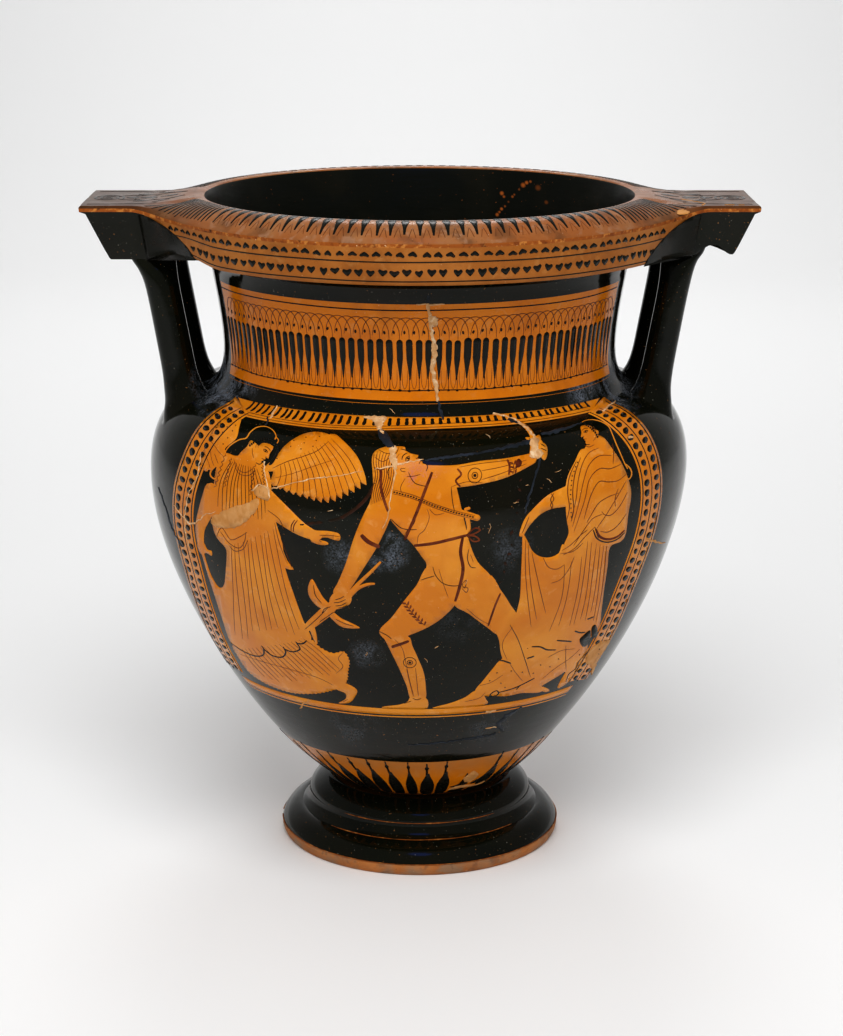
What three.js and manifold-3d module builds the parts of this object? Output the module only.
// A column krater: a wide wheel-thrown bowl for mixing wine and water, on a two-step foot, with an
// overhanging rim, and on each side a flat handle plate carried by two leaning columns.
// It was fired as one body, so it is one mesh. Millimetres, +Z up, origin at the foot's centre on the
// surface it stands on, +X through one handle, and the painted front towards -Y.
import * as THREE from 'three';
import { mergeVertices } from 'three/addons/utils/BufferGeometryUtils.js';
import Module from 'manifold-3d';

const wasm = await Module();
wasm.setup();

// Driving dimensions
const RIM_HEIGHT = 480;
const MOUTH_RADIUS = 153;
const RIM_RADIUS = 178;
const RIM_EDGE_HEIGHT = 470;
const RIM_EDGE_THICKNESS = 3;
const RIM_CREST = 1.6;
const LIP_BOTTOM_RADIUS = 174.7;
const LIP_BOTTOM_HEIGHT = 441;
const NECK_TOP_RADIUS = 149.5;
const NECK_TOP_HEIGHT = 434;
const NECK_RADIUS = 141.1;
const NECK_ROOT_HEIGHT = 370;
const SHOULDER_RADIUS = 158;
const SHOULDER_HEIGHT = 342;
const BELLY_RADIUS = 195.4;
const BELLY_HEIGHT = 286;
const BELLY_DRIFT = 2;
const STEM_RADIUS = 63.8;
const STEM_HEIGHT = 47.3;
const BODY_WALL = 7;
const NECK_WALL = 8.5;
const FLOOR_HEIGHT = 55;
const FOOT_RADIUS = 103.7;
const FOOT_RING_OUTER = 102;
const FOOT_RING_INNER = 84;
const FOOT_HOLLOW_HEIGHT = 42;

const PLATE_REACH = 237.5;
const PLATE_HALF_WIDTH = 43;
const PLATE_TOP_HEIGHT = 475.5;
const PLATE_FOOT_REACH = 217;
const PLATE_FOOT_HALF_WIDTH = 40;
const PLATE_FOOT_HEIGHT = 438;
const RIGHT_FOOT_REACH = 220;
const RIGHT_FOOT_HEIGHT = 441.5;
const RIGHT_ARCH_RISE = 6.5;
const PLATE_SPREAD_ANGLE = 40;
const COLUMN_OFFSET = 37;
const COLUMN_RADIUS = 12;

const ROUND_SIDES = 52;
const COLUMN_SIDES = 12;

const v2 = (x, y) => new THREE.Vector2(x, y);

// Boolean solids in and out of three.js geometry
function solidOf(geometry) {
  const bare = geometry.clone();
  bare.deleteAttribute('normal');
  bare.deleteAttribute('uv');
  const merged = mergeVertices(bare, 1e-4);
  const mesh = new wasm.Mesh({
    numProp: 3,
    vertProperties: new Float32Array(merged.attributes.position.array),
    triVerts: new Uint32Array(merged.index.array),
  });
  return new wasm.Manifold(mesh);
}

function geometryOf(solid) {
  const mesh = solid.getMesh();
  const geometry = new THREE.BufferGeometry();
  geometry.setAttribute('position', new THREE.BufferAttribute(mesh.vertProperties, 3));
  geometry.setIndex(new THREE.BufferAttribute(mesh.triVerts, 1));
  geometry.computeVertexNormals();
  return geometry;
}

// A solid turned on the wheel: the profile runs from the axis at the bottom to the axis at the top. The
// soft bowl sagged a little to the left before it was fired, while the foot and the neck stayed true.
function turned(profile) {
  const geometry = new THREE.LatheGeometry(profile, ROUND_SIDES);
  geometry.rotateX(Math.PI / 2);
  const position = geometry.attributes.position;
  for (let i = 0; i < position.count; i += 1) {
    const z = position.getZ(i);
    const above = THREE.MathUtils.smoothstep(z, STEM_HEIGHT, STEM_HEIGHT + 50);
    const below = 1 - THREE.MathUtils.smoothstep(z, BELLY_HEIGHT - 60, SHOULDER_HEIGHT - 15);
    position.setX(i, position.getX(i) - BELLY_DRIFT * above * below);
  }
  return solidOf(geometry);
}

// The points of a cubic curve between two ends, leaving out the last one
function bend(start, pullStart, pullEnd, end, steps) {
  return new THREE.CubicBezierCurve(start, pullStart, pullEnd, end).getPoints(steps).slice(0, steps);
}

// Outer form: the bell-shaped hollow under the foot, the standing ring, torus, hollowed riser and upper
// step of the foot, then bowl, shoulder and neck
function outerForm() {
  const stem = v2(STEM_RADIUS, STEM_HEIGHT);
  const belly = v2(BELLY_RADIUS, BELLY_HEIGHT);
  const shoulder = v2(SHOULDER_RADIUS, SHOULDER_HEIGHT);
  const neckRoot = v2(NECK_RADIUS, NECK_ROOT_HEIGHT);
  const neckTop = v2(NECK_TOP_RADIUS, NECK_TOP_HEIGHT);
  const torusTop = v2(88.3, 21.9);
  const stepEdge = v2(82.6, 32.4);
  const ringInner = v2(FOOT_RING_INNER, 0);
  return turned([
    ...bend(v2(0, FOOT_HOLLOW_HEIGHT), v2(56, FOOT_HOLLOW_HEIGHT - 4), v2(76, 18), ringInner, 5),
    ringInner,
    v2(FOOT_RING_OUTER, 0),
    ...bend(v2(FOOT_RADIUS - 0.3, 4), v2(FOOT_RADIUS + 1.2, 12), v2(97, 20.5), torusTop, 4),
    ...bend(torusTop, v2(85.4, 23.5), v2(81.5, 27.5), stepEdge, 2),
    ...bend(stepEdge, v2(81.8, 37.5), v2(75, 43), v2(70.5, 44.6), 3),
    v2(70.5, 44.6),
    v2(68.6, 45.6),
    ...bend(stem, v2(104.8, 68.7), v2(BELLY_RADIUS, 197.7), belly, 9),
    ...bend(belly, v2(BELLY_RADIUS, 315.4), v2(181.6, 336.8), shoulder, 6),
    ...bend(shoulder, v2(154, 342.9), v2(NECK_RADIUS, 345.4), neckRoot, 4),
    ...bend(neckRoot, v2(NECK_RADIUS, 389.6), v2(146.3, 414.7), neckTop, 2),
    neckTop,
    v2(NECK_TOP_RADIUS + 3, RIM_EDGE_HEIGHT - 12),
    v2(0, RIM_EDGE_HEIGHT - 12),
  ]);
}

// The hollow inside: bowl, shoulder, neck and mouth, past the rim
function innerForm() {
  const floorEdge = v2(40, FLOOR_HEIGHT + 1.5);
  const belly = v2(BELLY_RADIUS - BODY_WALL, BELLY_HEIGHT);
  const shoulder = v2(SHOULDER_RADIUS - 2, SHOULDER_HEIGHT - BODY_WALL);
  const neckRoot = v2(NECK_RADIUS - NECK_WALL, NECK_ROOT_HEIGHT);
  const neckTop = v2(NECK_TOP_RADIUS - NECK_WALL, NECK_TOP_HEIGHT);
  const mouth = v2(MOUTH_RADIUS, RIM_HEIGHT);
  return turned([
    v2(0, FLOOR_HEIGHT),
    ...bend(floorEdge, v2(102, 68), v2(belly.x, 199), belly, 7),
    ...bend(belly, v2(belly.x, 314), v2(178, 330), shoulder, 4),
    ...bend(shoulder, v2(147, 336.7), v2(neckRoot.x, 346), neckRoot, 3),
    ...bend(neckRoot, v2(neckRoot.x, 390), v2(neckTop.x - 3, 415), neckTop, 2),
    ...bend(neckTop, v2(neckTop.x + 2.5, 450), v2(MOUTH_RADIUS - 3.5, 470), mouth, 2),
    mouth,
    v2(MOUTH_RADIUS, RIM_HEIGHT + 10),
    v2(0, RIM_HEIGHT + 10),
  ]);
}

// How far the outline of a rim with two plates lies from the axis, at an angle from the +X axis.
// The plate is a straight-sided tongue. Past its root a curve spreads it into the round rim.
function outlineReach(angle, roundRadius, reach, halfWidth) {
  const across = Math.abs(Math.sin(angle));
  const along = Math.abs(Math.cos(angle));
  const spread = THREE.MathUtils.degToRad(PLATE_SPREAD_ANGLE);
  const turn = Math.atan2(across, along);
  const rootReach = roundRadius + 27;
  const rootTurn = Math.asin((halfWidth + 1) / rootReach);
  if (turn >= spread) return roundRadius;
  if (turn >= rootTurn) {
    const left = (spread - turn) / (spread - rootTurn);
    return roundRadius + 12 * left ** 2 + (rootReach - roundRadius - 12) * left ** 9;
  }
  const side = (halfWidth + (rootReach * along - reach) / (rootReach - reach)) / Math.max(across, 1e-6);
  return Math.min(reach / along, Math.max(side, 0));
}

// The angles of the rim's outline: close together at the plates' corners and sides, even elsewhere
function outlineAngles() {
  const corner = Math.atan2(PLATE_HALF_WIDTH, PLATE_REACH);
  const root = Math.asin((PLATE_HALF_WIDTH + 1) / (RIM_RADIUS + 27));
  const spread = THREE.MathUtils.degToRad(PLATE_SPREAD_ANGLE);
  const quarter = [0, 0.5 * corner, 0.9 * corner, corner];
  for (let i = 1; i <= 3; i += 1) quarter.push(corner + (root - corner) * (i / 3));
  for (let i = 1; i <= 7; i += 1) quarter.push(root + (spread - root) * (i / 7) ** 1.6);
  for (let i = 1; i <= 7; i += 1) quarter.push(spread + (Math.PI / 2 - spread) * (i / 7));
  const half = [...quarter, ...quarter.slice(1, -1).reverse().map((a) => Math.PI - a)];
  return [...half, Math.PI, ...half.slice(1).reverse().map((a) => -a)];
}

// The overhanging rim and both plates: at each angle a section runs over the top, down the edge and the
// side, and back under to the neck. The plate takes over from the rim as its outline reaches out. The
// two plates were cut by hand: the left one is flat below, the right one is hollowed behind its tip.
function rimSection(angle) {
  const edge = outlineReach(angle, RIM_RADIUS, PLATE_REACH, PLATE_HALF_WIDTH);
  const right = Math.cos(angle) > 0;
  const footReach = right ? RIGHT_FOOT_REACH : PLATE_FOOT_REACH;
  const foot = outlineReach(angle, LIP_BOTTOM_RADIUS, footReach, PLATE_FOOT_HALF_WIDTH);
  const plate = THREE.MathUtils.smoothstep(edge, RIM_RADIUS, RIM_RADIUS + 30);
  const plateFoot = right ? RIGHT_FOOT_HEIGHT : PLATE_FOOT_HEIGHT;
  const footHeight = THREE.MathUtils.lerp(LIP_BOTTOM_HEIGHT, plateFoot, plate);
  const arch = right ? plate * RIGHT_ARCH_RISE : 0;
  const top = (share) => {
    const crest = RIM_CREST * Math.sin(Math.PI * share);
    const rim = RIM_HEIGHT + crest - (RIM_HEIGHT - RIM_EDGE_HEIGHT) * share ** 2.2;
    const flat = RIM_HEIGHT - (RIM_HEIGHT - PLATE_TOP_HEIGHT) * THREE.MathUtils.smoothstep(share, 0, 0.5);
    return v2(MOUTH_RADIUS + (edge - 1 - MOUTH_RADIUS) * share, THREE.MathUtils.lerp(rim, flat, plate));
  };
  const edgeTop = top(1);
  return [
    v2(MOUTH_RADIUS - 6, RIM_HEIGHT),
    top(0),
    top(0.25),
    top(0.5),
    top(0.75),
    edgeTop,
    v2(edge, edgeTop.y - 1),
    v2(edge, edgeTop.y - 1 - RIM_EDGE_THICKNESS),
    v2(THREE.MathUtils.lerp(edge, foot, 0.25), edgeTop.y - 3 - RIM_EDGE_THICKNESS),
    v2(foot, footHeight),
    v2(foot - 4, footHeight - 0.5),
    v2(THREE.MathUtils.lerp(NECK_TOP_RADIUS, foot, 0.78), footHeight + arch),
    v2(NECK_TOP_RADIUS - 2, NECK_TOP_HEIGHT),
    v2(MOUTH_RADIUS - 9, NECK_TOP_HEIGHT + 6),
  ];
}

function rimAndPlates() {
  const angles = outlineAngles();
  const sections = angles.map((angle) => rimSection(angle));
  const rows = sections[0].length;
  const position = [];
  angles.forEach((angle, i) => {
    sections[i].forEach((p) => position.push(p.x * Math.cos(angle), p.x * Math.sin(angle), p.y));
  });
  const index = [];
  for (let i = 0; i < angles.length; i += 1) {
    const next = (i + 1) % angles.length;
    for (let j = 0; j < rows; j += 1) {
      const over = (j + 1) % rows;
      const a = i * rows + j;
      const b = next * rows + j;
      const c = next * rows + over;
      const d = i * rows + over;
      index.push(a, c, b, a, d, c);
    }
  }
  const geometry = new THREE.BufferGeometry();
  geometry.setAttribute('position', new THREE.Float32BufferAttribute(position, 3));
  geometry.setIndex(index);
  return solidOf(geometry);
}

// One column: sections from inside the shoulder's wall to inside the plate, leaning outwards, with the
// clay smoothed inwards onto the shoulder and outwards under the plate. Each section gives its height,
// the centre's distance from the axis along X, the half thickness along X, and the offset and half
// thickness along Y.
function column(side, depth) {
  const thin = side > 0 ? COLUMN_RADIUS - 1 : COLUMN_RADIUS;
  const shift = side > 0 ? -2 : 0;
  const high = side > 0 ? 5 : 0;
  const sections = [
    [314, 159.5, 23, COLUMN_OFFSET, 20],
    [326, 161 + shift, 21.5, COLUMN_OFFSET, 19],
    [336, 163.7 + shift, 17.5, COLUMN_OFFSET, 16],
    [346, 167.4 + shift, thin + 2.2, COLUMN_OFFSET, thin + 1.6],
    [358, 170.2 + shift, thin + 0.4, COLUMN_OFFSET, thin],
    [380, 174 + shift, thin, COLUMN_OFFSET, thin],
    [416, 180.3 + shift, thin, COLUMN_OFFSET, thin],
    [429 + high, 183.6 + shift, thin + 1.4, COLUMN_OFFSET - 1.5, thin],
    [438 + high, 187 + shift, thin + 4, COLUMN_OFFSET - 4.5, thin - 1.5],
    [452 + high, 189 + shift, thin + 6, COLUMN_OFFSET - 7, thin - 3],
  ];
  const outline = sections.map(([height]) => v2(1, height));
  const closed = [v2(0, sections[0][0]), ...outline, v2(0, sections.at(-1)[0])];
  const geometry = new THREE.LatheGeometry(closed, COLUMN_SIDES);
  geometry.rotateX(Math.PI / 2);
  const position = geometry.attributes.position;
  for (let i = 0; i < position.count; i += 1) {
    const z = position.getZ(i);
    const [, centre, thick, offset, wide] = sections.find(([height]) => Math.abs(height - z) < 0.01);
    const x = side * (centre + thick * position.getX(i));
    const y = depth * (offset + wide * position.getY(i));
    position.setXYZ(i, x, y, z);
  }
  if (side * depth < 0) geometry.index.array.reverse();
  return solidOf(geometry);
}

function kraterSolid() {
  let clay = outerForm().add(rimAndPlates());
  for (const side of [-1, 1]) {
    for (const depth of [-1, 1]) clay = clay.add(column(side, depth));
  }
  return clay.subtract(innerForm());
}

const blackGloss = new THREE.MeshStandardMaterial({ color: 0x1b1a14, roughness: 0.3, metalness: 0 });
const krater = new THREE.Mesh(geometryOf(kraterSolid()), blackGloss);
krater.name = 'krater';

const part = new THREE.Group();
part.add(krater);

export default part;
